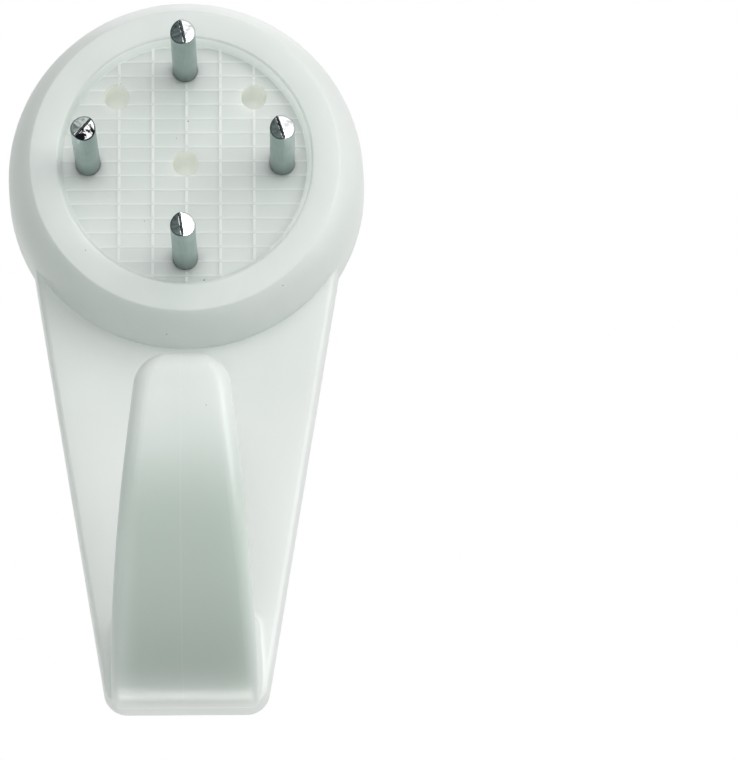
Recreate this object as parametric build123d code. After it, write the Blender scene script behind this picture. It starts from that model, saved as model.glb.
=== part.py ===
from build123d import *
import math
import os

# Picture hook for hard walls: one white plastic moulding and four steel pins. All lengths are in mm.
# +Z is up and the front faces -Y. The rim at the back is the plane y = 0, which lies on the wall.
# The origin is the middle of the four pins, on that plane.

# Round head: a near upright flank that curves in to the raised ring, and the recess inside the ring
head_radius = 12.5
head_depth = 7.9
flank_depth = 2.9
flank_lean = 0.11
shoulder = 1.82
ring_width = 1.93
ring_round = 0.15
recess_depth = 1.0
recess_inset = 0.25
recess_round = 0.2

# Tapered plate below the head
plate_depth = 3.5
plate_drop = 37.4
plate_top_half = 11.75
plate_bottom_half = 5.47
plate_corner = 1.65
plate_draft = 3.0
plate_edge_round = 0.3

# Hollow back
head_rim = 1.75
plate_wall = 1.1
bottom_wall = 1.85
head_floor = 5.6
plate_floor_top = 2.4
plate_floor_bottom = 1.5
pocket_draft = 2.0
pocket_round = 0.45
rib_width = 3.5
rib_drop = 0.3
rib_angles = (0, 45, 90, 135, 180, 270)
rib_reach = 10.5
ejector_land = 4.1
ejector_mark = 3.2
ejector_mark_depth = 0.12
ejector_mark_line = 0.2
ejector_mark_drop = 3.2
dimple = 2.9
dimple_depth = 0.35
dimple_rise = 3.15
relief_width = 5.0
relief_height = 6.4
relief_depth = 0.5
relief_corner = 1.2
relief_drop = 25.2
pad_radius = 1.75
pad_height = 1.0
pad_shift = 0.4

# Hook arm, as seen from the side
arm_out = 18.64
arm_in = 16.2
bend_start = 5.8
bend_height = -22.6
throat_floor = -31.4
throat_round = 0.8
tip_height = -15.84
tip_setback = 0.3
tip_round = 1.15

# Hook arm, as seen from the front
arm_tip_half = 2.95
arm_root_half = 5.0
arm_swell = 0.23
tip_corner = 2.0
arm_front_round = 1.15
arm_root_round = 0.55
arm_back_round = 0.5
stem_stations = 4
bend_stations = 8
nose_stations = 7
nose_turn = 84

# Pins and their holes, with places and the lie of each sheared ridge in degrees from +X
pin_radius = 0.85
pin_clearance = 0.03
pin_margin = 2.05
pin_stand = 9.3
pin_length = 17.9
point_length = 3.4
point_half = 0.24
nib_half = 0.16
nib_length = 0.45
shear_height = 0.42
pin_names = ("pin_top", "pin_left", "pin_right", "pin_bottom")
pin_angles = (90, 180, 0, 270)
ridge_angles = (103, 49, 109, 98)
spare_hole_angles = (45, 135)

# Fine raised grid on the floor of the recess
bar_pitch = 2.33
bar_width = 0.2
bar_height = 0.1
bar_shift = 0.1
bar_count = 5
line_pitch = 1.016
line_width = 0.1
line_height = 0.05
line_shift = 0.15
line_count = 17
hole_land = 0.3

# Sizes that follow from the ones above
ring_radius = head_radius - shoulder
recess_radius = ring_radius - ring_width
recess_floor_radius = recess_radius - recess_inset
floor_depth = head_depth - recess_depth
pin_circle = recess_radius - pin_margin
hole_radius = pin_radius + pin_clearance
plate_slope = (plate_top_half - plate_bottom_half) / plate_drop
wall_plane = Plane.XZ
overlap = 0.5
tolerance = 0.01


def on_circle(angle, radius):
    """Point of the front view at an angle from +X."""
    return radius * math.cos(math.radians(angle)), radius * math.sin(math.radians(angle))


def from_wall(depth):
    """Front-view sketch plane at a depth in front of the wall."""
    return wall_plane.offset(depth)


def disc(radius, near, far, centre=(0, 0)):
    """Round bar along Y between two depths in front of the wall."""
    sketch = from_wall(near) * Pos(centre[0], centre[1]) * Circle(radius)
    return extrude(sketch, amount=far - near)


def head():
    """Turned drum with the raised ring and the shallow round recess in its front."""
    flank_end = (head_radius - flank_lean, -flank_depth)
    ring_outer = (ring_radius, -head_depth)
    ring_inner = (recess_radius, -head_depth)
    floor_edge = (recess_floor_radius, -floor_depth)
    back = Polyline((0, -floor_depth), (0, 0), (head_radius, 0), flank_end)
    shoulder_arc = TangentArc(flank_end, ring_outer, tangent=(-flank_lean, -flank_depth))
    front = Polyline(ring_outer, ring_inner, floor_edge, (0, -floor_depth))
    face = make_face(back + shoulder_arc + front)
    rounds = ((ring_outer, ring_round), (ring_inner, recess_round), (floor_edge, recess_round))
    for corner, radius in rounds:
        vertex = face.vertices().sort_by_distance((corner[0], corner[1], 0))[0]
        face = fillet(vertex, radius)
    return revolve(face, Axis.Y)


def plate_outline(inset, bottom_inset, top):
    """Tapered outline of the plate, drawn in from the back edge by a wall."""
    side = inset / math.cos(math.atan(plate_slope))
    bottom = -plate_drop + bottom_inset
    top_half = plate_top_half + plate_slope * top - side
    bottom_half = plate_bottom_half + plate_slope * bottom_inset - side
    return Polygon(
        (-bottom_half, bottom), (bottom_half, bottom), (top_half, top), (-top_half, top), align=None
    )


def plate():
    """Tapered plate that runs down from the head, with drafted sides and a softened front edge."""
    outline = plate_outline(0, 0, 0)
    outline = fillet(outline.vertices().group_by(Axis.Y)[0], plate_corner)
    solid = extrude(wall_plane * outline, amount=plate_depth, taper=plate_draft)
    front = solid.faces().sort_by(Axis.Y)[0]
    top_edge = front.edges().sort_by(Axis.Z)[-1]
    edges = [edge for edge in front.edges() if edge.center().Z < top_edge.center().Z - overlap]
    return fillet(edges, plate_edge_round)


def arm_half(z):
    """Half width of the hook at a height: it widens in a slight curve from the tip to the root."""
    down = (tip_height - z) / (tip_height + plate_drop)
    straight = arm_tip_half + (arm_root_half - arm_tip_half) * down
    return straight + 4 * arm_swell * down * (1 - down)


def arm_section(outer, inner, front_round, side_inset=0.0, face_inset=0.0):
    """Rounded cross-section of the hook, set between a point of its belly and one of its throat."""
    across = Vector(0, outer[0] - inner[0], outer[1] - inner[1])
    step = across.normalized()
    plane = Plane(origin=(0, *inner), x_dir=(1, 0, 0), z_dir=(0, -step.Z, step.Y))
    outer_half = arm_half(outer[1]) - side_inset
    inner_half = arm_half(inner[1]) - side_inset
    low = face_inset
    high = across.length - face_inset
    face = Polygon(
        (-inner_half, low), (inner_half, low), (outer_half, high), (-outer_half, high), align=None
    )
    face = fillet(face.vertices().group_by(Axis.Y)[-1], min(front_round, 0.46 * (high - low)))
    face = fillet(face.vertices().group_by(Axis.Y)[0], min(arm_back_round, 0.3 * (high - low)))
    return plane * face


def stem_section(z, side_inset=0.0, face_inset=0.0):
    """Level cross-section of the upright part of the hook, which leans back a little at its tip."""
    back = tip_setback * ((z - bend_height) / (tip_height - bend_height)) ** 2
    return arm_section((-arm_out + back, z), (-arm_in + back, z), arm_front_round, side_inset, face_inset)


def bend_section(share):
    """Cross-section on the bend, from level at share 0 to upright against the plate at share 1."""
    turn = math.radians(90 * share)
    outer = (
        -bend_start - (arm_out - bend_start) * math.cos(turn),
        bend_height - (plate_drop + bend_height) * math.sin(turn),
    )
    inner = (
        -bend_start - (arm_in - bend_start) * math.cos(turn),
        bend_height - (bend_height - throat_floor) * math.sin(turn),
    )
    return arm_section(outer, inner, arm_front_round + (arm_root_round - arm_front_round) * share)


def nose_section(angle):
    """Cross-section of the tip: its sides draw in round the corners, and its faces close to the end."""
    turn = math.radians(angle)
    rise = tip_corner * math.sin(turn)
    face_rise = max(0, rise - tip_corner + tip_round)
    face_inset = tip_round - math.sqrt(tip_round**2 - face_rise**2)
    return stem_section(tip_height - tip_corner + rise, tip_corner * (1 - math.cos(turn)), face_inset)


def arm():
    """Hook arm: rounded cross-sections that follow the belly and the throat, and a soft tip."""
    nose = [nose_section(nose_turn * index / nose_stations) for index in range(nose_stations + 1)]
    nose_base = tip_height - tip_corner
    stem = []
    for index in range(stem_stations):
        stem.append(stem_section(nose_base + (bend_height - nose_base) * index / stem_stations))
    bend = [bend_section(index / bend_stations) for index in range(bend_stations + 1)]
    root = extrude(bend[-1], amount=bend_start - plate_depth + overlap)
    return loft(stem + bend) + loft(nose) + root


def hole_centres():
    """Four pin holes, two spare holes between them and the one in the middle."""
    return [(0, 0)] + [on_circle(angle, pin_circle) for angle in pin_angles + spare_hole_angles]


def ridge_grid():
    """Raised bars and finer cross lines on the floor of the recess, clear of the holes."""
    reach = 2 * recess_floor_radius
    grid = Part()
    for index in range(bar_count):
        x = bar_shift + (index - (bar_count - 1) / 2) * bar_pitch
        grid += Pos(x, -floor_depth, 0) * Box(bar_width, 2 * bar_height, reach)
    for index in range(line_count):
        z = line_shift + (index - (line_count - 1) / 2) * line_pitch
        grid += Pos(0, -floor_depth, z) * Box(reach, 2 * line_height, line_width)
    grid &= disc(recess_floor_radius, floor_depth - overlap, floor_depth + overlap)
    for centre in hole_centres():
        grid -= disc(hole_radius + hole_land, floor_depth - overlap, floor_depth + overlap, centre)
    return grid


def back_hollow():
    """What is taken out behind: pockets between the ribs of the head, and the tray of the plate."""
    inner = head_radius - head_rim
    tray = plate_outline(plate_wall, bottom_wall, -head_rim)
    tray = fillet(tray.vertices().group_by(Axis.Y)[0], plate_corner - plate_wall)
    skim = extrude(wall_plane * (Circle(inner) + tray), amount=rib_drop)
    spokes = Sketch() + [
        Rot(0, 0, angle) * Pos(head_radius / 2, 0) * Rectangle(head_radius, rib_width)
        for angle in rib_angles
    ]
    land = Pos(0, -ejector_mark_drop) * Circle(ejector_land / 2)
    pockets = Circle(inner) - spokes - land
    hollow = skim
    for pocket in pockets.faces():
        pocket = offset(offset(pocket, -pocket_round, kind=Kind.INTERSECTION), pocket_round)
        hollow += extrude(from_wall(rib_drop) * pocket, amount=head_floor - rib_drop, taper=pocket_draft)
    slope = Polygon(
        (0, 0),
        (-plate_floor_top, 0),
        (-plate_floor_top, -rib_reach),
        (-plate_floor_bottom, -plate_drop),
        (0, -plate_drop),
        align=None,
    )
    wedge = extrude(Plane.YZ.offset(-head_radius) * slope, amount=2 * head_radius)
    tray_block = extrude(wall_plane * (tray - Circle(rib_reach)), amount=plate_depth, taper=pocket_draft)
    hollow += tray_block & wedge
    return hollow


def tray_floor(z):
    """Depth of the plate's inner floor at a height: the front wall thickens downwards."""
    share = (-rib_reach - z) / (plate_drop - rib_reach)
    return plate_floor_top + (plate_floor_bottom - plate_floor_top) * share


def back_marks(solid):
    """Marks of the mould behind: a ring and a dimple on the ribs, a relief and a pad in the tray."""
    mark_place = (0, -ejector_mark_drop)
    mark_end = rib_drop + ejector_mark_depth
    solid -= disc(ejector_mark / 2, 0, mark_end, mark_place)
    solid += disc(ejector_mark / 2 - ejector_mark_line, rib_drop, mark_end + overlap, mark_place)
    solid -= disc(dimple / 2, 0, rib_drop + dimple_depth, (0, dimple_rise))
    floor = tray_floor(-relief_drop)
    relief = from_wall(0) * Pos(0, -relief_drop) * RectangleRounded(relief_width, relief_height, relief_corner)
    solid -= extrude(relief, amount=floor + relief_depth)
    pad_place = (pad_shift, -relief_drop)
    solid += disc(pad_radius, floor + relief_depth - pad_height, floor + relief_depth + overlap, pad_place)
    return solid


def body():
    """The moulding: head, plate and hook in one, hollow behind, with its holes and its fine grid."""
    solid = head() + plate() + arm()
    throat = [
        edge
        for edge in solid.edges().filter_by(Axis.X)
        if abs(edge.center().Y + plate_depth) < tolerance and abs(edge.center().Z - throat_floor) < tolerance
    ]
    solid = fillet(throat, throat_round)
    solid -= back_hollow()
    solid = back_marks(solid)
    for centre in hole_centres():
        solid -= disc(hole_radius, -overlap, head_depth, centre)
    return solid + ridge_grid()


def pin(angle, ridge_angle):
    """Steel pin: sheared to a ridge in front, drawn to a four-sided point with a small nib behind."""
    front = floor_depth + pin_stand
    nib_start = front - pin_length + nib_length
    shaft = disc(pin_radius, nib_start, front)
    point_slope = (pin_radius - point_half) / point_length
    base_half = point_half + point_slope * (front - nib_start)
    narrow = from_wall(nib_start) * Rectangle(2 * point_half, 2 * point_half)
    wide = from_wall(front) * Rectangle(2 * base_half, 2 * base_half)
    point = Rot(0, ridge_angle, 0) * loft([narrow, wide], ruled=True)
    turn = math.radians(ridge_angle)
    across = Plane(
        origin=(0, 0, 0),
        x_dir=(-math.sin(turn), 0, math.cos(turn)),
        z_dir=(math.cos(turn), 0, math.sin(turn)),
    )
    reach = 2 * pin_radius
    roof = Polygon(
        (-reach, nib_start - overlap),
        (reach, nib_start - overlap),
        (reach, front - shear_height * reach / pin_radius),
        (0, front),
        (-reach, front - shear_height * reach / pin_radius),
        align=None,
    )
    shear = extrude(across.offset(-reach) * roof, amount=2 * reach)
    nib_sketch = from_wall(nib_start - nib_length) * Rectangle(2 * nib_half, 2 * nib_half)
    nib = Rot(0, ridge_angle, 0) * extrude(nib_sketch, amount=nib_length + overlap)
    x, z = on_circle(angle, pin_circle)
    return Pos(x, 0, z) * ((shaft & point & shear) + nib)


os.makedirs("parts", exist_ok=True)
export_step(body(), "parts/hook_body.step")
for name, angle, ridge_angle in zip(pin_names, pin_angles, ridge_angles):
    export_step(pin(angle, ridge_angle), f"parts/{name}.step")
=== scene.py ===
# Picture hook for hard walls: a white plastic moulding held by four steel pins. All lengths are in metres.
import math

import bmesh
import bpy
from mathutils import Matrix, Vector


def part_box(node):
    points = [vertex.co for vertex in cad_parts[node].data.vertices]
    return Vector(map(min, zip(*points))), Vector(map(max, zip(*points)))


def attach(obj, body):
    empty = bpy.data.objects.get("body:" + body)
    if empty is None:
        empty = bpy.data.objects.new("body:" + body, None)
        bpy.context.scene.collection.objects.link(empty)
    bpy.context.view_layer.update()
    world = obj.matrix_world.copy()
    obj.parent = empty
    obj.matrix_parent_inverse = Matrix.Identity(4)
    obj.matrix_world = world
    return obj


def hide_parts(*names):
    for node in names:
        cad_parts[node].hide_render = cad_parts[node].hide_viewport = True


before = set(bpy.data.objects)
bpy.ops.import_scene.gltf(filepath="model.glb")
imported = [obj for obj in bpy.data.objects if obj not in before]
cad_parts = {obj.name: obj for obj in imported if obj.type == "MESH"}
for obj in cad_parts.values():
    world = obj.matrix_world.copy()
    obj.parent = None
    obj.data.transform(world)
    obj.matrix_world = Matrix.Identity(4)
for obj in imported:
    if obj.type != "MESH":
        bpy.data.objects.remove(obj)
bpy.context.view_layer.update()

# Moulding: head, plate and upturned arm in one shot of slightly translucent white plastic. The plate,
# a narrow wall, is painted lighter, and the belly of the arm, where the plastic is thickest, is painted
# darker, as painted light and shade. The spare pin holes let light through, painted as cream colour
# and glow, and the upper right of the recess wall has a painted glow. The grid in the recess has bars
# with painted highlights, broken at each cross line, cross lines with painted highlights, and a slight
# scoop between the lines painted as shade and light.
white_plastic = (0.815, 0.845, 0.825, 1.0)
shaded_plastic = (0.76, 0.80, 0.775, 1.0)
# Painted shade on the belly of the arm, where it faces down
belly_painted_shade = (0.58, 0.65, 0.605, 1.0)
# Painted light on the lower front of the plate
plate_painted_light = (0.91, 0.93, 0.91, 1.0)
# Painted light in the spare holes
hole_painted_light = (0.82, 0.84, 0.78, 1.0)
floor_plastic = (0.74, 0.78, 0.755, 1.0)
# Painted light at the foot of each grid cell's scoop
scoop_painted_light = (0.79, 0.825, 0.80, 1.0)
# Painted highlight on the grid's cross lines
line_painted_highlight = (0.88, 0.92, 0.895, 1.0)
# Painted highlight on the grid's bars, also the faint tone of the parting line
bar_highlight_and_parting_white = (0.94, 0.97, 0.95, 1.0)
speck_grey = (0.16, 0.17, 0.16, 1.0)
# Colour of the painted glow in the spare holes and on the recess wall
painted_glow_colour = (0.55, 0.57, 0.54, 1.0)
hole_glow_strength = 0.2
wall_glow_strength = 0.3
# Gloss, depth that light reaches, soft clouding and fine skin
plastic_roughness = 0.32
plastic_ior = 1.49
scatter_share = 0.75
scatter_reach = 0.003
cloud_scale = 260.0
skin_scale = 3200.0
skin_strength = 0.1
skin_depth = 0.00002
# Holes: a spare one in the middle, and a circle with the four pins and two more spare ones
hole_circle = 0.0067
spare_hole_radius = 0.00094
spare_hole_mouth = -0.0068
spare_hole_side = hole_circle * math.sqrt(0.5)
spare_holes = (
    (0.0, 0.0, spare_hole_radius),
    (-spare_hole_side, spare_hole_side, spare_hole_radius),
    (spare_hole_side, spare_hole_side, spare_hole_radius),
)
# Recess: its floor with the grid, and the low wall round it, with a painted glow on its upper right
recess_front = -0.0071
recess_reach = 0.0084
bar_pitch = 0.00233
bar_shift = 0.0001
bars_half = 0.0055
bar_half = 0.00009
line_pitch = 0.001016
line_shift = 0.00015
line_gap = 0.00009
line_half = 0.000055
wall_front = -0.0078
wall_reach = 0.00875
wall_dim = -0.005
wall_lit = 0.004
# Belly of the arm, where the plastic is thickest: painted shade, whose darker colour starts and ends in
# height, in depth and to the sides
belly_top = -0.0185
belly_middle = -0.027
belly_low = -0.0345
belly_end = -0.0415
belly_back = -0.0035
belly_front = -0.0065
belly_side = 0.0057
belly_core = 0.0031
belly_shift = 0.0004
# Front of the plate, a narrow wall: painted light, which grows lighter downwards
lit_plate_front = -0.0036
lit_plate_back = -0.0033
lit_plate_top = -0.0125
lit_plate_middle = -0.025
# Parting line of the mould along the arm
parting_half = 0.00005
parting_share = 0.07
parting_top = -0.0135
parting_shift = -0.0001
# Specks in the plastic: place across, height and radius
specks = (
    (0.0002, 0.0030, 0.000045),
    (-0.0006, 0.0018, 0.00003),
    (0.0013, -0.0083, 0.000055),
    (-0.0045, 0.0057, 0.00003),
    (-0.0028, -0.0041, 0.00003),
    (0.0067, -0.0088, 0.00003),
    (-0.0068, -0.0064, 0.000035),
    (0.0016, -0.0196, 0.00003),
    (-0.0013, -0.0118, 0.000025),
)


def new_material(name):
    """A node material with its principled shader, ready for patterns."""
    material = bpy.data.materials.new(name)
    material.use_nodes = True
    return material, material.node_tree.nodes, material.node_tree.links


def object_point(nodes):
    """Place on the piece, in metres."""
    return nodes.new("ShaderNodeTexCoord").outputs["Object"]


def feed(links, value, socket):
    """Sets a socket from another node's output, or from a plain number."""
    if isinstance(value, bpy.types.NodeSocket):
        links.new(value, socket)
    else:
        socket.default_value = value


def calculate(nodes, links, operation, first, second):
    """One step of arithmetic on numbers."""
    step = nodes.new("ShaderNodeMath")
    step.operation = operation
    feed(links, first, step.inputs[0])
    feed(links, second, step.inputs[1])
    return step.outputs[0]


def combine(nodes, links, operation, first, second):
    """One step of arithmetic on points."""
    step = nodes.new("ShaderNodeVectorMath")
    step.operation = operation
    feed(links, first, step.inputs[0])
    feed(links, second, step.inputs[1])
    return step.outputs["Vector"]


def noise(nodes, links, point, scale, detail=2.0):
    """Smooth noise with features of about one over the scale."""
    texture = nodes.new("ShaderNodeTexNoise")
    texture.inputs["Scale"].default_value = scale
    texture.inputs["Detail"].default_value = detail
    links.new(point, texture.inputs["Vector"])
    return texture.outputs["Fac"]


def blend_colours(nodes, links, share, first, second):
    """Colour between two others."""
    mix = nodes.new("ShaderNodeMix")
    mix.data_type = "RGBA"
    feed(links, share, mix.inputs["Factor"])
    feed(links, first, mix.inputs["A"])
    feed(links, second, mix.inputs["B"])
    return mix.outputs["Result"]


def round_marks(nodes, links, point, places):
    """1 in round spots of the front view, each given by its place and its radius, and 0 elsewhere."""
    flat = combine(nodes, links, "MULTIPLY", point, (1.0, 0.0, 1.0))
    inside = 0.0
    for across, height, radius in places:
        reach = nodes.new("ShaderNodeVectorMath")
        reach.operation = "DISTANCE"
        links.new(flat, reach.inputs[0])
        reach.inputs[1].default_value = (across, 0.0, height)
        near = calculate(nodes, links, "LESS_THAN", reach.outputs["Value"], radius)
        inside = calculate(nodes, links, "MAXIMUM", inside, near)
    return inside


def band(nodes, links, value, low, high):
    """1 between two limits and 0 elsewhere."""
    above = calculate(nodes, links, "GREATER_THAN", value, low)
    below = calculate(nodes, links, "LESS_THAN", value, high)
    return calculate(nodes, links, "MULTIPLY", above, below)


def fade(nodes, links, value, start, end):
    """Soft step from 0 at the start to 1 at the end."""
    soft = nodes.new("ShaderNodeMapRange")
    soft.interpolation_type = "SMOOTHSTEP"
    soft.inputs["From Min"].default_value = start
    soft.inputs["From Max"].default_value = end
    links.new(value, soft.inputs["Value"])
    return soft.outputs["Result"]


def painted_belly_mask(nodes, links, point):
    """1 on the belly of the arm, where the plastic is thickest and shade is painted, fading out above, below
    and behind.
    """
    axes = nodes.new("ShaderNodeSeparateXYZ")
    links.new(point, axes.inputs[0])
    belly_shade = fade(nodes, links, axes.outputs["Z"], belly_top, belly_middle)
    not_end = fade(nodes, links, axes.outputs["Z"], belly_end, belly_low)
    in_front = fade(nodes, links, axes.outputs["Y"], belly_back, belly_front)
    aside = calculate(nodes, links, "SUBTRACT", axes.outputs["X"], belly_shift)
    aside = calculate(nodes, links, "ABSOLUTE", aside, 0.0)
    belly_shade = calculate(nodes, links, "MULTIPLY", belly_shade, fade(nodes, links, aside, belly_side, belly_core))
    belly_shade = calculate(nodes, links, "MULTIPLY", belly_shade, not_end)
    return calculate(nodes, links, "MULTIPLY", belly_shade, in_front)


def painted_plate_mask(nodes, links, point):
    """1 on the lower front of the plate, where light is painted in, standing in for light through its narrow
    wall.
    """
    axes = nodes.new("ShaderNodeSeparateXYZ")
    links.new(point, axes.inputs[0])
    face = band(nodes, links, axes.outputs["Y"], lit_plate_front, lit_plate_back)
    low = fade(nodes, links, axes.outputs["Z"], lit_plate_top, lit_plate_middle)
    return calculate(nodes, links, "MULTIPLY", face, low)


def parting_line(nodes, links, point):
    """Faint mask along the middle of the arm, where the two halves of the mould met."""
    axes = nodes.new("ShaderNodeSeparateXYZ")
    links.new(point, axes.inputs[0])
    middle = band(
        nodes, links, axes.outputs["X"], parting_shift - parting_half, parting_shift + parting_half
    )
    in_front = fade(nodes, links, axes.outputs["Y"], belly_back, belly_front)
    below = calculate(nodes, links, "LESS_THAN", axes.outputs["Z"], parting_top)
    middle = calculate(nodes, links, "MULTIPLY", middle, below)
    middle = calculate(nodes, links, "MULTIPLY", middle, in_front)
    return calculate(nodes, links, "MULTIPLY", middle, parting_share)


def away_from_lines(nodes, links, value, shift, pitch):
    """Distance from the nearest line of a row of equal steps."""
    moved = calculate(nodes, links, "SUBTRACT", value, shift)
    return calculate(nodes, links, "PINGPONG", moved, pitch / 2)


def grid_marks(nodes, links, point):
    """Masks for the grid's bars and cross lines, the scoop of its cells from 0 to 1, and its whole floor."""
    axes = nodes.new("ShaderNodeSeparateXYZ")
    links.new(point, axes.inputs[0])
    across, depth, height = axes.outputs
    floor = round_marks(nodes, links, point, [(0.0, 0.0, recess_reach)])
    level = band(nodes, links, depth, recess_front, spare_hole_mouth)
    floor = calculate(nodes, links, "MULTIPLY", floor, level)
    beside = away_from_lines(nodes, links, across, bar_shift, bar_pitch)
    off_line = away_from_lines(nodes, links, height, line_shift, line_pitch)
    bar = calculate(nodes, links, "LESS_THAN", beside, bar_half)
    bar = calculate(nodes, links, "MULTIPLY", bar, band(nodes, links, across, -bars_half, bars_half))
    broken = calculate(nodes, links, "GREATER_THAN", off_line, line_gap)
    bar = calculate(nodes, links, "MULTIPLY", bar, broken)
    line = calculate(nodes, links, "LESS_THAN", off_line, line_half)
    steps = calculate(nodes, links, "SUBTRACT", height, line_shift)
    steps = calculate(nodes, links, "DIVIDE", steps, line_pitch)
    scoop = calculate(nodes, links, "SUBTRACT", 1.0, calculate(nodes, links, "FRACT", steps, 0.0))
    return [calculate(nodes, links, "MULTIPLY", part, floor) for part in (bar, line, scoop, 1.0)]


def painted_wall_glow_mask(nodes, links, point):
    """1 on the upper right of the recess's low round wall, which gets a painted glow as light from the ring
    shining through.
    """
    axes = nodes.new("ShaderNodeSeparateXYZ")
    links.new(point, axes.inputs[0])
    level = band(nodes, links, axes.outputs["Y"], wall_front, spare_hole_mouth)
    inner = round_marks(nodes, links, point, [(0.0, 0.0, recess_reach)])
    outer = round_marks(nodes, links, point, [(0.0, 0.0, wall_reach)])
    ring = calculate(nodes, links, "SUBTRACT", outer, inner)
    up_right = calculate(nodes, links, "ADD", axes.outputs["X"], axes.outputs["Z"])
    ring = calculate(nodes, links, "MULTIPLY", ring, fade(nodes, links, up_right, wall_dim, wall_lit))
    return calculate(nodes, links, "MULTIPLY", ring, level)


def plastic_material():
    """Satin white plastic: clouding, painted light on the plate and painted shade on the belly, painted
    highlights and shade on the grid, painted light in the holes, specks and skin.
    """
    material, nodes, links = new_material("white_plastic")
    shader = nodes["Principled BSDF"]
    point = object_point(nodes)
    clouded = blend_colours(
        nodes, links, noise(nodes, links, point, cloud_scale), shaded_plastic, white_plastic
    )
    # The lower front of the plate is painted lighter, as painted light
    plate_lit = blend_colours(nodes, links, painted_plate_mask(nodes, links, point), clouded, plate_painted_light)
    # The belly of the arm is painted darker, as painted shade where it faces down
    belly_shaded = blend_colours(nodes, links, painted_belly_mask(nodes, links, point), plate_lit, belly_painted_shade)
    parted = blend_colours(nodes, links, parting_line(nodes, links, point), belly_shaded, bar_highlight_and_parting_white)
    bars, lines, scoop, floor = grid_marks(nodes, links, point)
    floored = blend_colours(nodes, links, floor, parted, floor_plastic)
    # Each grid cell goes from the floor's darker tone at its top to a lighter one at its foot, as painted
    # shade and light of its scoop
    scoop_painted = blend_colours(nodes, links, scoop, floored, scoop_painted_light)
    # The cross lines are painted light, as painted highlights over their shaded sides
    lines_painted = blend_colours(nodes, links, lines, scoop_painted, line_painted_highlight)
    # The grid's bars are painted white, as painted highlights on their tops
    bars_painted = blend_colours(nodes, links, bars, lines_painted, bar_highlight_and_parting_white)
    depth = nodes.new("ShaderNodeSeparateXYZ")
    links.new(point, depth.inputs[0])
    inside = calculate(nodes, links, "GREATER_THAN", depth.outputs["Y"], spare_hole_mouth)
    holes = calculate(nodes, links, "MULTIPLY", inside, round_marks(nodes, links, point, spare_holes))
    # The spare holes are painted cream and given a painted glow, as light through the plastic round them
    holes_painted = blend_colours(nodes, links, holes, bars_painted, hole_painted_light)
    specked = blend_colours(nodes, links, round_marks(nodes, links, point, specks), holes_painted, speck_grey)
    links.new(specked, shader.inputs["Base Color"])
    shader.inputs["Emission Color"].default_value = painted_glow_colour
    glowing = calculate(nodes, links, "MULTIPLY", holes, hole_glow_strength)
    # Painted glow on the upper right of the recess wall
    wall = calculate(nodes, links, "MULTIPLY", painted_wall_glow_mask(nodes, links, point), wall_glow_strength)
    links.new(calculate(nodes, links, "ADD", glowing, wall), shader.inputs["Emission Strength"])
    shader.inputs["Roughness"].default_value = plastic_roughness
    shader.inputs["IOR"].default_value = plastic_ior
    shader.inputs["Subsurface Weight"].default_value = scatter_share
    shader.inputs["Subsurface Radius"].default_value = (1.0, 1.0, 1.0)
    shader.inputs["Subsurface Scale"].default_value = scatter_reach
    skin = nodes.new("ShaderNodeBump")
    skin.inputs["Strength"].default_value = skin_strength
    skin.inputs["Distance"].default_value = skin_depth
    links.new(noise(nodes, links, point, skin_scale), skin.inputs["Height"])
    links.new(skin.outputs["Normal"], shader.inputs["Normal"])
    return material


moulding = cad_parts["hook_body"]
moulding.data.materials.clear()
moulding.data.materials.append(plastic_material())

# Pins: hard steel wire, sheared to a blunt ridge in front and drawn to a four-sided point behind.
# They are pressed into the head, and each cut end has a dull broken side, a bright smeared side
# and a ragged burr between them; the dark and bright tones of the cuts, the burr and the rim are
# partly painted shade, shadow and highlight. They are hammered in flush when the hook is put up.
pin_radius = 0.00085
pin_sides = 64
smooth_angle = 24.0
same_place = 0.00000001
# Material slots of a pin: its wire, the two cuts on the left and right of the ridge, and the rim
wire_slot = 0
left_slot = 1
right_slot = 2
rim_slot = 3
# Sheared front: slope of its two cuts, rounded rim and torn burr
ridge_slope = 26.3
rim_round = 0.00003
burr_half = 0.00005
burr_cuts = 9
burr_rise = 0.00006
burr_sway = 0.00004
burr_wave_step = 2.4
burr_sway_step = 3.1
crest_half = 0.000015
square_on = 0.05
# Point behind, drawn to a blunt square with a small nib
point_run = 0.0034
point_half = 0.00024
nib_length = 0.00045
nib_inset = 0.00008
nib_pinch = 0.7
# Steels, from the wire's to those of the cuts; the darkest and brightest are painted shadow and highlight
shaft_steel = (0.42, 0.51, 0.49, 1.0)
worn_and_painted_shade_steel = (0.25, 0.31, 0.295, 1.0)
painted_shadow_steel = (0.008, 0.009, 0.012, 1.0)
dark_steel = (0.04, 0.05, 0.05, 1.0)
dull_steel = (0.13, 0.16, 0.16, 1.0)
satin_steel = (0.55, 0.60, 0.57, 1.0)
grey_steel = (0.6, 0.62, 0.63, 1.0)
bright_and_painted_highlight_steel = (0.97, 0.97, 0.98, 1.0)
# Drawn surface of the wire, with painted shade towards its hole
wire_roughness = 0.42
wire_patch_scale = 900.0
wire_line_scale = 9000.0
wire_line_stretch = (1.0, 0.04, 1.0)
wire_line_strength = 0.15
wire_line_depth = 0.00001
shaft_bright_end = -0.0115
shaft_dark_start = -0.0062
# Streaks and grooves of the cuts, painted highlights and shadows of torn steel beside the ridge, and painted
# shade on the rim
streak_detail = 3.0
streak_scale = 4200.0
streak_stretch = (1.0, 1.0, 0.35)
groove_strength = 0.35
groove_depth = 0.00002
tear_scale = 11000.0
tear_stretch = (0.3, 1.0, 1.0)
tear_spread = 0.03
burr_reach = 0.00011
burr_near = 0.00004
rim_start = 0.00077
rim_sway = 0.00006
rim_roughness = 0.35
mottle_scale = 6000.0


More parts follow.
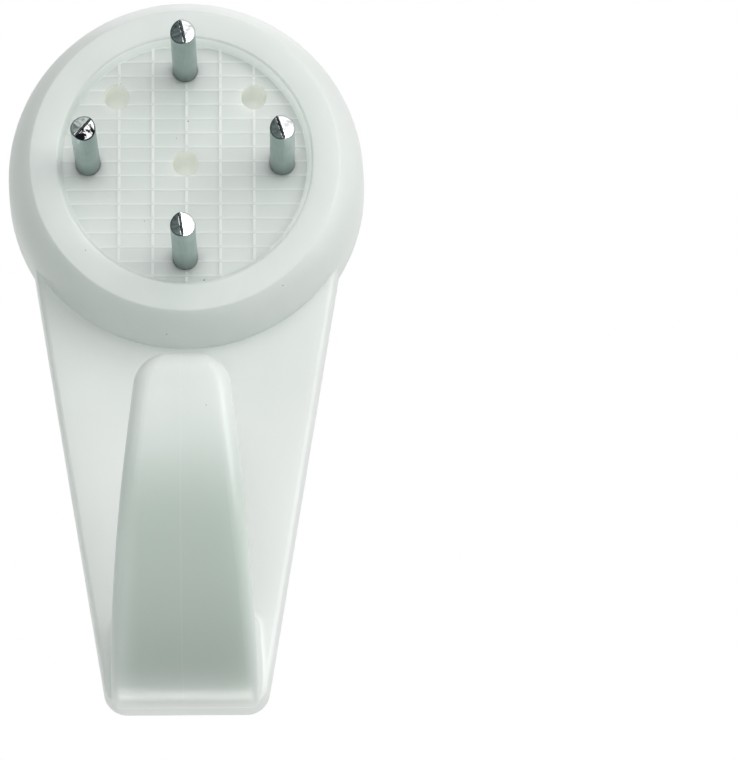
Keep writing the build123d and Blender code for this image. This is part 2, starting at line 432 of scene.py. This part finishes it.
def wire_material():
    """Satin drawn wire, with fine lines along it, darker where it is worn, and with painted shade near its
    hole.
    """
    material, nodes, links = new_material("pin_steel")
    shader = nodes["Principled BSDF"]
    point = object_point(nodes)
    patches = noise(nodes, links, point, wire_patch_scale)
    drawn_out = combine(nodes, links, "MULTIPLY", point, wire_line_stretch)
    lines = noise(nodes, links, drawn_out, wire_line_scale)
    depth = nodes.new("ShaderNodeSeparateXYZ")
    links.new(point, depth.inputs[0])
    # Painted shade on the wire towards its hole
    painted_hole_shade = fade(nodes, links, depth.outputs["Y"], shaft_bright_end, shaft_dark_start)
    shade = calculate(nodes, links, "MULTIPLY", patches, lines)
    shade = calculate(nodes, links, "MAXIMUM", shade, painted_hole_shade)
    links.new(
        blend_colours(nodes, links, shade, shaft_steel, worn_and_painted_shade_steel), shader.inputs["Base Color"]
    )
    shader.inputs["Metallic"].default_value = 1.0
    shader.inputs["Roughness"].default_value = wire_roughness
    drawn = nodes.new("ShaderNodeBump")
    drawn.inputs["Strength"].default_value = wire_line_strength
    drawn.inputs["Distance"].default_value = wire_line_depth
    links.new(lines, drawn.inputs["Height"])
    links.new(drawn.outputs["Normal"], shader.inputs["Normal"])
    return material


def streaks(nodes, links, point, stretch, scale, low, high, spread, lean):
    """Two steels in streaks, with soft or hard edges, that may grow lighter along the ridge as painted
    light.
    """
    stretched = combine(nodes, links, "MULTIPLY", point, stretch)
    pattern = noise(nodes, links, stretched, scale, streak_detail)
    along = nodes.new("ShaderNodeSeparateXYZ")
    links.new(point, along.inputs[0])
    leaning = calculate(nodes, links, "MULTIPLY", along.outputs["X"], lean / pin_radius)
    ramp = nodes.new("ShaderNodeValToRGB")
    ramp.color_ramp.elements[0].position = 0.5 - spread
    ramp.color_ramp.elements[0].color = low
    ramp.color_ramp.elements[1].position = 0.5 + spread
    ramp.color_ramp.elements[1].color = high
    links.new(calculate(nodes, links, "ADD", pattern, leaning), ramp.inputs["Fac"])
    return ramp.outputs["Color"], pattern


def cut_material(name, hole, ridge_angle, ridge_shift, tones):
    """Sheared steel: its own streaks, partly painted light and shade, a torn burr beside the ridge with
    painted black shadows and white highlights, and a rolled rim with painted shade.
    """
    material, nodes, links = new_material(name)
    shader = nodes["Principled BSDF"]
    dark, light, spread, lean, roughness = tones
    turned = nodes.new("ShaderNodeMapping")
    turned.inputs["Rotation"].default_value = (0.0, math.radians(ridge_angle), 0.0)
    links.new(combine(nodes, links, "SUBTRACT", object_point(nodes), hole), turned.inputs["Vector"])
    point = turned.outputs["Vector"]
    face, grain = streaks(
        nodes, links, point, streak_stretch, streak_scale, dark, light, spread, lean
    )
    torn, ragged = streaks(
        nodes, links, point, tear_stretch, tear_scale, painted_shadow_steel, bright_and_painted_highlight_steel, tear_spread, 0.0
    )
    beside = nodes.new("ShaderNodeSeparateXYZ")
    links.new(point, beside.inputs[0])
    off_ridge = calculate(nodes, links, "SUBTRACT", beside.outputs["Z"], ridge_shift)
    off_ridge = calculate(nodes, links, "ABSOLUTE", off_ridge, 0.0)
    reach = calculate(nodes, links, "MULTIPLY", ragged, 2 * burr_reach)
    burr = calculate(nodes, links, "LESS_THAN", off_ridge, reach)
    foot = calculate(nodes, links, "LESS_THAN", off_ridge, burr_near + burr_half)
    flat = nodes.new("ShaderNodeVectorMath")
    flat.operation = "LENGTH"
    links.new(combine(nodes, links, "MULTIPLY", point, (1.0, 0.0, 1.0)), flat.inputs[0])
    sway = calculate(nodes, links, "MULTIPLY", grain, rim_sway)
    wavy = calculate(nodes, links, "ADD", flat.outputs["Value"], sway)
    rolled = calculate(nodes, links, "GREATER_THAN", wavy, rim_start + rim_sway / 2)
    # The burr beside the ridge gets painted highlights and shadows in white and black, and its foot a
    # painted shadow
    burred = blend_colours(nodes, links, burr, face, torn)
    footed = blend_colours(nodes, links, foot, burred, painted_shadow_steel)
    # Beyond the rim's start the cut is painted dark, as painted shade on the rolled rim
    links.new(blend_colours(nodes, links, rolled, footed, dark), shader.inputs["Base Color"])
    shader.inputs["Metallic"].default_value = 1.0
    shader.inputs["Roughness"].default_value = roughness
    grooves = nodes.new("ShaderNodeBump")
    grooves.inputs["Strength"].default_value = groove_strength
    grooves.inputs["Distance"].default_value = groove_depth
    links.new(grain, grooves.inputs["Height"])
    links.new(grooves.outputs["Normal"], shader.inputs["Normal"])
    return material


def rim_material():
    """Rolled edge round the sheared end, darkened with painted shade."""
    material, nodes, links = new_material("pin_rim")
    shader = nodes["Principled BSDF"]
    mottle = noise(nodes, links, object_point(nodes), mottle_scale)
    links.new(
        blend_colours(nodes, links, mottle, painted_shadow_steel, dull_steel), shader.inputs["Base Color"]
    )
    shader.inputs["Metallic"].default_value = 1.0
    shader.inputs["Roughness"].default_value = rim_roughness
    return material


def cut_flat(mesh, point, normal, slot):
    """Cuts the wire with a plane, keeps what lies behind it and closes the cut."""
    whole = mesh.verts[:] + mesh.edges[:] + mesh.faces[:]
    cut = bmesh.ops.bisect_plane(
        mesh, geom=whole, dist=same_place, plane_co=point, plane_no=normal, clear_outer=True
    )
    rim = [part for part in cut["geom_cut"] if isinstance(part, bmesh.types.BMEdge)]
    for face in bmesh.ops.contextual_create(mesh, geom=rim)["faces"]:
        face.material_index = slot


def wire_blank(front, back):
    """Straight round wire along Y, up to the foot of its nib."""
    mesh = bmesh.new()
    along_wire = Matrix.Rotation(math.radians(90.0), 4, "X")
    bmesh.ops.create_cone(
        mesh,
        cap_ends=True,
        segments=pin_sides,
        radius1=pin_radius,
        radius2=pin_radius,
        depth=back - nib_length - front,
        matrix=Matrix.Translation((0.0, (front + back - nib_length) / 2, 0.0)) @ along_wire,
    )
    return mesh


def shear_front(mesh, ridge_foot, left):
    """Two sloping cuts in front, which meet in a ridge."""
    slope = math.radians(ridge_slope)
    outward = Vector((0.0, -math.cos(slope), 0.0))
    cut_flat(mesh, ridge_foot, outward + left * math.sin(slope), left_slot)
    cut_flat(mesh, ridge_foot, outward - left * math.sin(slope), right_slot)


def draw_point(mesh, turn, back):
    """Four flats behind, down to a blunt square, and a small pinched nib on its end."""
    taper = math.atan((pin_radius - point_half) / point_run)
    for quarter in range(4):
        side = Matrix.Rotation(turn + quarter * math.pi / 2, 3, "Y") @ Vector((1.0, 0.0, 0.0))
        flat_normal = side * math.cos(taper) + Vector((0.0, math.sin(taper), 0.0))
        flat_point = side * point_half + Vector((0.0, back - nib_length, 0.0))
        cut_flat(mesh, flat_point, flat_normal, wire_slot)
    tip = max(mesh.faces, key=lambda face: face.calc_center_median().y)
    bmesh.ops.inset_region(mesh, faces=[tip], thickness=nib_inset)
    drawn = bmesh.ops.extrude_face_region(mesh, geom=[tip])["geom"]
    nib = [part for part in drawn if isinstance(part, bmesh.types.BMVert)]
    bmesh.ops.delete(mesh, geom=[tip], context="FACES_ONLY")
    bmesh.ops.translate(mesh, verts=nib, vec=(0.0, nib_length, 0.0))
    nib_centre = Matrix.Translation((0.0, back, 0.0))
    bmesh.ops.scale(mesh, verts=nib, vec=(nib_pinch, 1.0, nib_pinch), space=nib_centre.inverted())


def round_edges(mesh, edges, width):
    """Rounds edges and gives the new faces the rim's finish."""
    return bmesh.ops.bevel(
        mesh,
        geom=edges,
        offset=width,
        offset_type="OFFSET",
        segments=2,
        profile=0.5,
        affect="EDGES",
        material=rim_slot,
    )["faces"]


def tear_ridge(mesh, ridge_foot, left, ridge_angle):
    """A narrow strip along the ridge, torn into small waves."""
    ridge = [
        edge
        for edge in mesh.edges
        if {face.material_index for face in edge.link_faces} == {left_slot, right_slot}
    ]
    strip = round_edges(mesh, ridge, burr_half)
    burr = [
        edge
        for edge in mesh.edges
        if abs((edge.verts[0].co - edge.verts[1].co).normalized().dot(left)) < square_on
        and any(face in strip for face in edge.link_faces)
        and edge.calc_length() > pin_radius
    ]
    bmesh.ops.subdivide_edges(mesh, edges=burr, cuts=burr_cuts, use_grid_fill=True)
    crest = [
        vert
        for vert in mesh.verts
        if abs((vert.co - ridge_foot).dot(left)) < crest_half
        and vert.co.y < ridge_foot.y + 2 * burr_half
    ]
    crest.sort(key=lambda vert: vert.co.cross(left).y)
    for index, vert in enumerate(crest[1:-1]):
        wave = math.sin(burr_wave_step * index + ridge_angle)
        vert.co += Vector((0.0, -burr_rise * (0.5 + 0.5 * wave), 0.0))
        vert.co += left * burr_sway * math.cos(burr_sway_step * index)


def pin_mesh(hole, ridge_angle, ridge_shift, front, back):
    """One pin, made at the origin along Y and then moved to its hole."""
    mesh = wire_blank(front, back)
    turn = math.radians(ridge_angle)
    left = Vector((-math.sin(turn), 0.0, math.cos(turn)))
    ridge_foot = Vector((0.0, front, 0.0)) + left * ridge_shift
    shear_front(mesh, ridge_foot, left)
    draw_point(mesh, turn, back)
    tear_ridge(mesh, ridge_foot, left, ridge_angle)
    rims = [
        edge
        for edge in mesh.edges
        if edge.is_manifold
        and edge.verts[0].co.y < front + pin_radius
        and {face.material_index for face in edge.link_faces}
        in ({wire_slot, left_slot}, {wire_slot, right_slot})
    ]
    round_edges(mesh, rims, rim_round)
    bmesh.ops.recalc_face_normals(mesh, faces=mesh.faces)
    bmesh.ops.translate(mesh, verts=mesh.verts, vec=hole)
    return mesh


wire_steel = wire_material()
rim_steel = rim_material()
# Dark and light steel, partly painted shade and highlight, softness of the streaks, how much painted light
# they gain along the ridge, roughness
dull_side = (dark_steel, dull_steel, 0.2, 0.0, 0.4)
bright_side = (grey_steel, bright_and_painted_highlight_steel, 0.1, 0.2, 0.2)
satin_side = (dull_steel, satin_steel, 0.15, 0.25, 0.4)
streaked_side = (painted_shadow_steel, bright_and_painted_highlight_steel, 0.03, 0.1, 0.2)
# Body, node, place round the circle, lie of the ridge, its shift to the left, finish of its two sides
pins = (
    ("top_pin", "pin_top", 90.0, 103.0, 0.0, dull_side, bright_side),
    ("left_pin", "pin_left", 180.0, 49.0, 0.0, satin_side, streaked_side),
    ("right_pin", "pin_right", 0.0, 109.0, 0.00012, dull_side, bright_side),
    ("bottom_pin", "pin_bottom", 270.0, 98.0, 0.0001, dull_side, bright_side),
)
for body, node, angle, ridge_angle, ridge_shift, left_finish, right_finish in pins:
    low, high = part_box(node)
    place = math.radians(angle)
    hole = Vector((math.cos(place), 0.0, math.sin(place))) * hole_circle
    pin_shape = pin_mesh(hole, ridge_angle, ridge_shift, low.y, high.y)
    for face in pin_shape.faces:
        face.smooth = True
    pin_data = bpy.data.meshes.new(f"{body}_wire")
    pin_shape.to_mesh(pin_data)
    pin_shape.free()
    pin_data.set_sharp_from_angle(angle=math.radians(smooth_angle))
    pin_data.materials.append(wire_steel)
    for side, finish in (("left", left_finish), ("right", right_finish)):
        pin_data.materials.append(
            cut_material(f"{body}_{side}_cut", hole, ridge_angle, ridge_shift, finish)
        )
    pin_data.materials.append(rim_steel)
    pin = bpy.data.objects.new(f"{body}_wire", pin_data)
    bpy.context.scene.collection.objects.link(pin)
    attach(pin, body)
    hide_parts(node)

# Studio: a pale floor well below the hook, a white surround, and large soft lamps.
# The two main lamps stand in front on the right, so that the left flank and the undersides fall
# off. One low behind lifts what faces straight down, and weak ones fill in from the other sides.
floor_height = -0.6
floor_half = 4.0
floor_grey = (0.85, 0.85, 0.85, 1.0)
floor_roughness = 0.9
white_light = (1.0, 1.0, 1.0, 1.0)
surround_colour = (0.93, 1.0, 0.96, 1.0)
surround_strength = 0.26


def white_to_lens(nodes, links, plain, white, output):
    """Shows white to the lens, to reflections and to light through glass, and the plain shader otherwise."""
    path = nodes.new("ShaderNodeLightPath")
    seen = path.outputs["Is Camera Ray"]
    for ray in ("Is Glossy Ray", "Is Transmission Ray"):
        seen = calculate(nodes, links, "MAXIMUM", seen, path.outputs[ray])
    switch = nodes.new("ShaderNodeMixShader")
    links.new(seen, switch.inputs[0])
    links.new(plain, switch.inputs[1])
    links.new(white, switch.inputs[2])
    links.new(switch.outputs[0], output)


world = bpy.data.worlds.new("studio_surround")
bpy.context.scene.world = world
world.use_nodes = True
nodes = world.node_tree.nodes
links = world.node_tree.links
nodes["Background"].inputs["Color"].default_value = surround_colour
nodes["Background"].inputs["Strength"].default_value = surround_strength
white = nodes.new("ShaderNodeBackground")
white.inputs["Color"].default_value = white_light
white_to_lens(
    nodes, links, nodes["Background"].outputs[0], white.outputs[0], nodes["World Output"].inputs["Surface"]
)

floor_mesh = bmesh.new()
bmesh.ops.create_grid(floor_mesh, x_segments=1, y_segments=1, size=floor_half)
bmesh.ops.translate(floor_mesh, verts=floor_mesh.verts, vec=(0.0, 0.0, floor_height))
floor_data = bpy.data.meshes.new("studio_floor")
floor_mesh.to_mesh(floor_data)
floor_mesh.free()
floor = bpy.data.objects.new("studio_floor", floor_data)
bpy.context.scene.collection.objects.link(floor)
floor_material, nodes, links = new_material("studio_floor")
nodes["Principled BSDF"].inputs["Base Color"].default_value = floor_grey
nodes["Principled BSDF"].inputs["Roughness"].default_value = floor_roughness
reflected = nodes.new("ShaderNodeEmission")
reflected.inputs["Color"].default_value = white_light
white_to_lens(
    nodes,
    links,
    nodes["Principled BSDF"].outputs[0],
    reflected.outputs[0],
    nodes["Material Output"].inputs["Surface"],
)
floor_data.materials.append(floor_material)

lamp_distance = 1.0
# Name, compass angle, height angle, size, power and colour of each soft box
lamps = (
    ("key_softbox", 45.0, 12.0, 0.6, 4.4, (0.96, 1.0, 0.97)),
    ("top_softbox", 20.0, 35.0, 0.6, 2.6, (1.0, 0.92, 0.97)),
    ("right_softbox", 100.0, -10.0, 0.6, 1.2, (1.0, 1.0, 1.0)),
    ("front_softbox", -10.0, 12.0, 0.3, 0.8, (1.0, 1.0, 1.0)),
    ("left_softbox", -75.0, -15.0, 0.6, 1.2, (0.85, 1.0, 0.92)),
    ("low_back_softbox", 180.0, -50.0, 0.6, 19.0, (1.0, 0.98, 0.94)),
    ("top_back_softbox", 180.0, 50.0, 0.6, 0.7, (1.0, 1.0, 1.0)),
)
for name, azimuth, elevation, size, power, colour in lamps:
    lamp_data = bpy.data.lights.new(name, "AREA")
    lamp_data.shape = "SQUARE"
    lamp_data.size = size
    lamp_data.energy = power
    lamp_data.color = colour
    turn = math.radians(azimuth)
    rise = math.radians(elevation)
    away = Vector((math.sin(turn) * math.cos(rise), -math.cos(turn) * math.cos(rise), math.sin(rise)))
    lamp = bpy.data.objects.new(name, lamp_data)
    lamp.location = away * lamp_distance
    lamp.rotation_euler = away.to_track_quat("Z", "Y").to_euler()
    bpy.context.scene.collection.objects.link(lamp)

# Camera: in front of the hook and looking up at it a little, through a long lens. Its aim is moved
# to the right and down a little, which sets the hook in the left half of the picture.
camera_azimuth = -1.213
camera_elevation = -12.5
camera_roll = -0.504
camera_distance = 0.324431
camera_lens = 222.2
camera_sensor = 36.0
camera_near = 0.01
camera_aim = (0.0, -0.004, -0.012)
aim_right = 0.012606
aim_up = -0.002647

turn = math.radians(camera_azimuth)
rise = math.radians(camera_elevation)
roll = math.radians(camera_roll)
back = Vector((math.sin(turn) * math.cos(rise), -math.cos(turn) * math.cos(rise), math.sin(rise)))
level_right = Vector((math.cos(turn), math.sin(turn), 0.0))
level_up = back.cross(level_right)
right = level_right * math.cos(roll) + level_up * math.sin(roll)
up = level_up * math.cos(roll) - level_right * math.sin(roll)
aim = Vector(camera_aim) + right * aim_right + up * aim_up
camera_data = bpy.data.cameras.new("camera")
camera_data.sensor_width = camera_sensor
camera_data.lens = camera_lens
camera_data.clip_start = camera_near
camera = bpy.data.objects.new("camera", camera_data)
axes = Matrix((right, up, back)).transposed()
camera.matrix_world = Matrix.Translation(aim + back * camera_distance) @ axes.to_4x4()
bpy.context.scene.collection.objects.link(camera)
bpy.context.scene.camera = camera
bpy.context.scene.view_settings.view_transform = "Standard"
